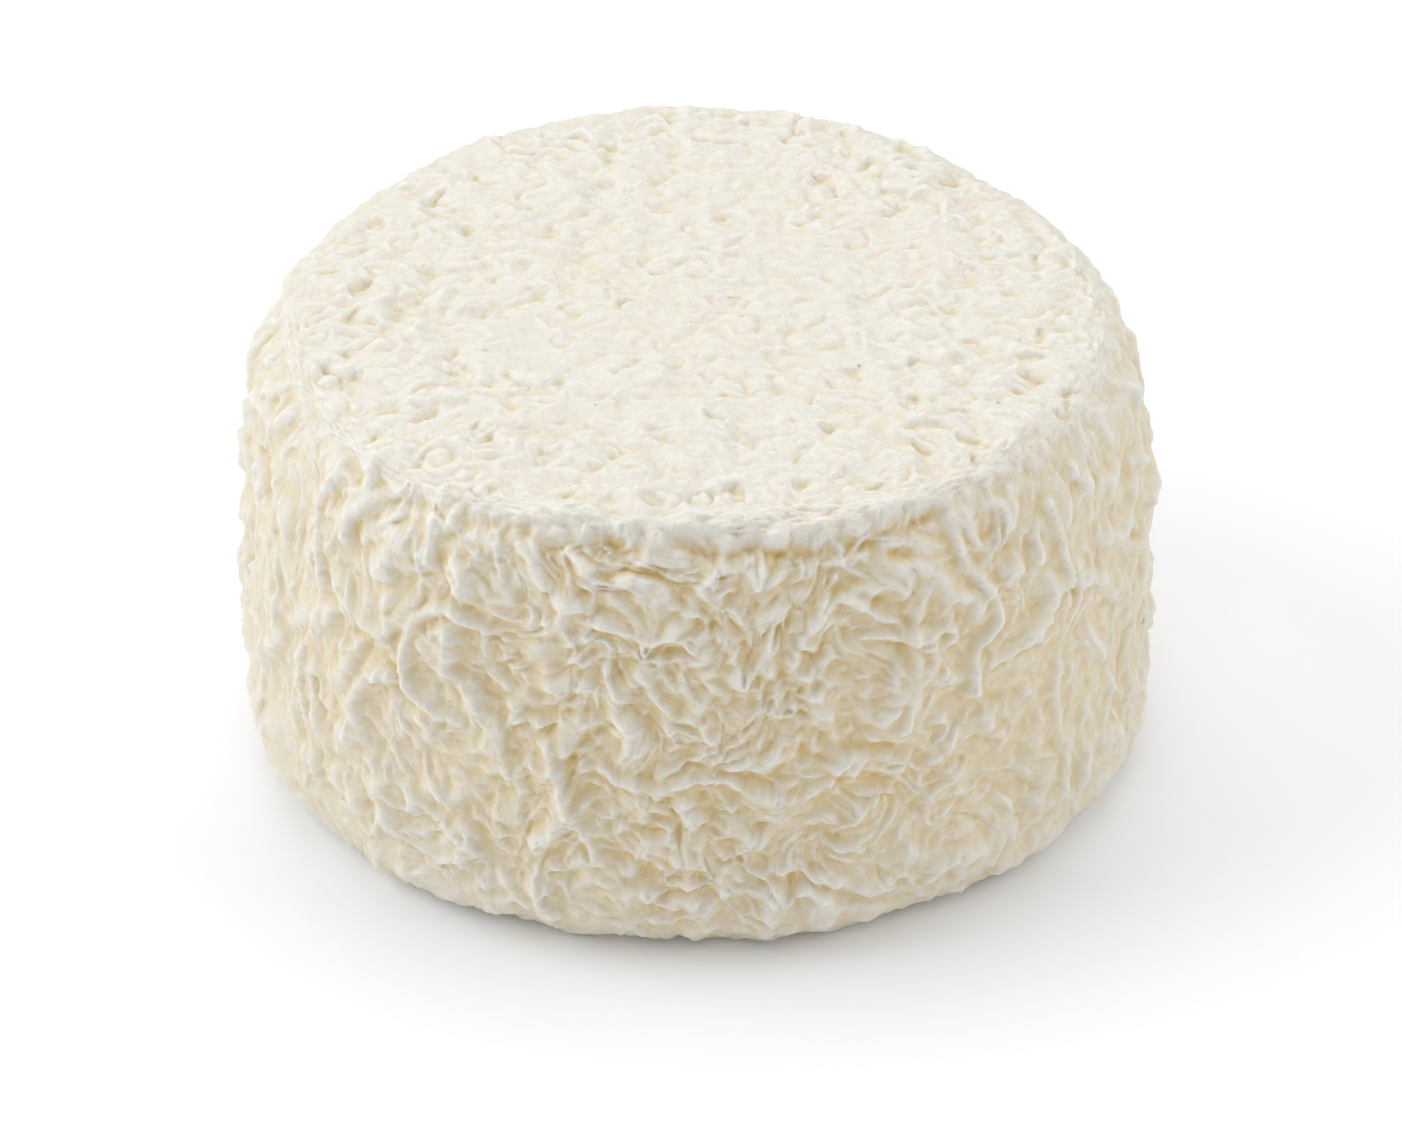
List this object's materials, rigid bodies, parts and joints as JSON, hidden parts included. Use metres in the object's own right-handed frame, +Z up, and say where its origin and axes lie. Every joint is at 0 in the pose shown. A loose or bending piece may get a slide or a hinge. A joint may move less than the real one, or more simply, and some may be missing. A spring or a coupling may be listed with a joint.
{
  "type": "soft-ripened cheese wheel",
  "caption": "Small whole cheese wheel with a deeply wrinkled white rind, a flatter top with a rolled edge, and a flat base.",
  "frame": {"origin": "centre of the flat base that the wheel rests on", "axes": "+Z up through the flatter top; -Y faces the viewer of the front side"},
  "size_m": [0.1155, 0.1157, 0.059],
  "materials": {
    "rind": "soft, slightly moist bloomy rind, creamy white on the crests and pale yellow in the hollows"
  },
  "bodies": {
    "root": {"cheese_wheel": "rind"}
  },
  "joints": []
}
